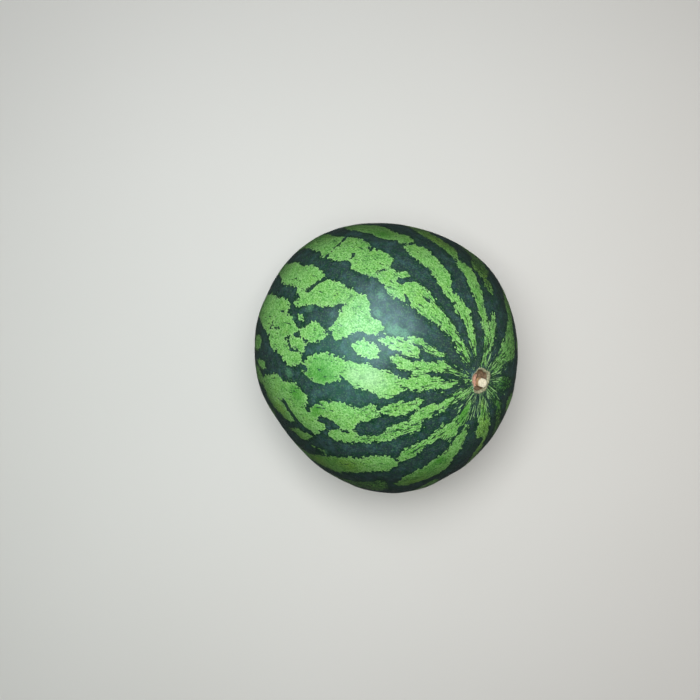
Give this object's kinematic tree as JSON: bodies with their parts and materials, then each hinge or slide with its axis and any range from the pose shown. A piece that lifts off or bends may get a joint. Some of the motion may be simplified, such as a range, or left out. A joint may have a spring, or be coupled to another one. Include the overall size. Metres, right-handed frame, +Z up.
{
  "type": "watermelon",
  "caption": "Round dark green watermelon with jagged light green stripes, lying on its side, with a cream stem stub in its sunken corky scar.",
  "frame": {"origin": "middle of the flat spot that the fruit rests on, under its weight", "axes": "+Z up from the surface that the fruit lies on; the stem end points along +X and 50 degrees up"},
  "size_m": [0.2649, 0.2636, 0.2627],
  "materials": {
    "rind": "satin",
    "stem": "matte"
  },
  "bodies": {
    "root": {"fruit": "rind", "stem_stub": "stem"}
  },
  "joints": []
}
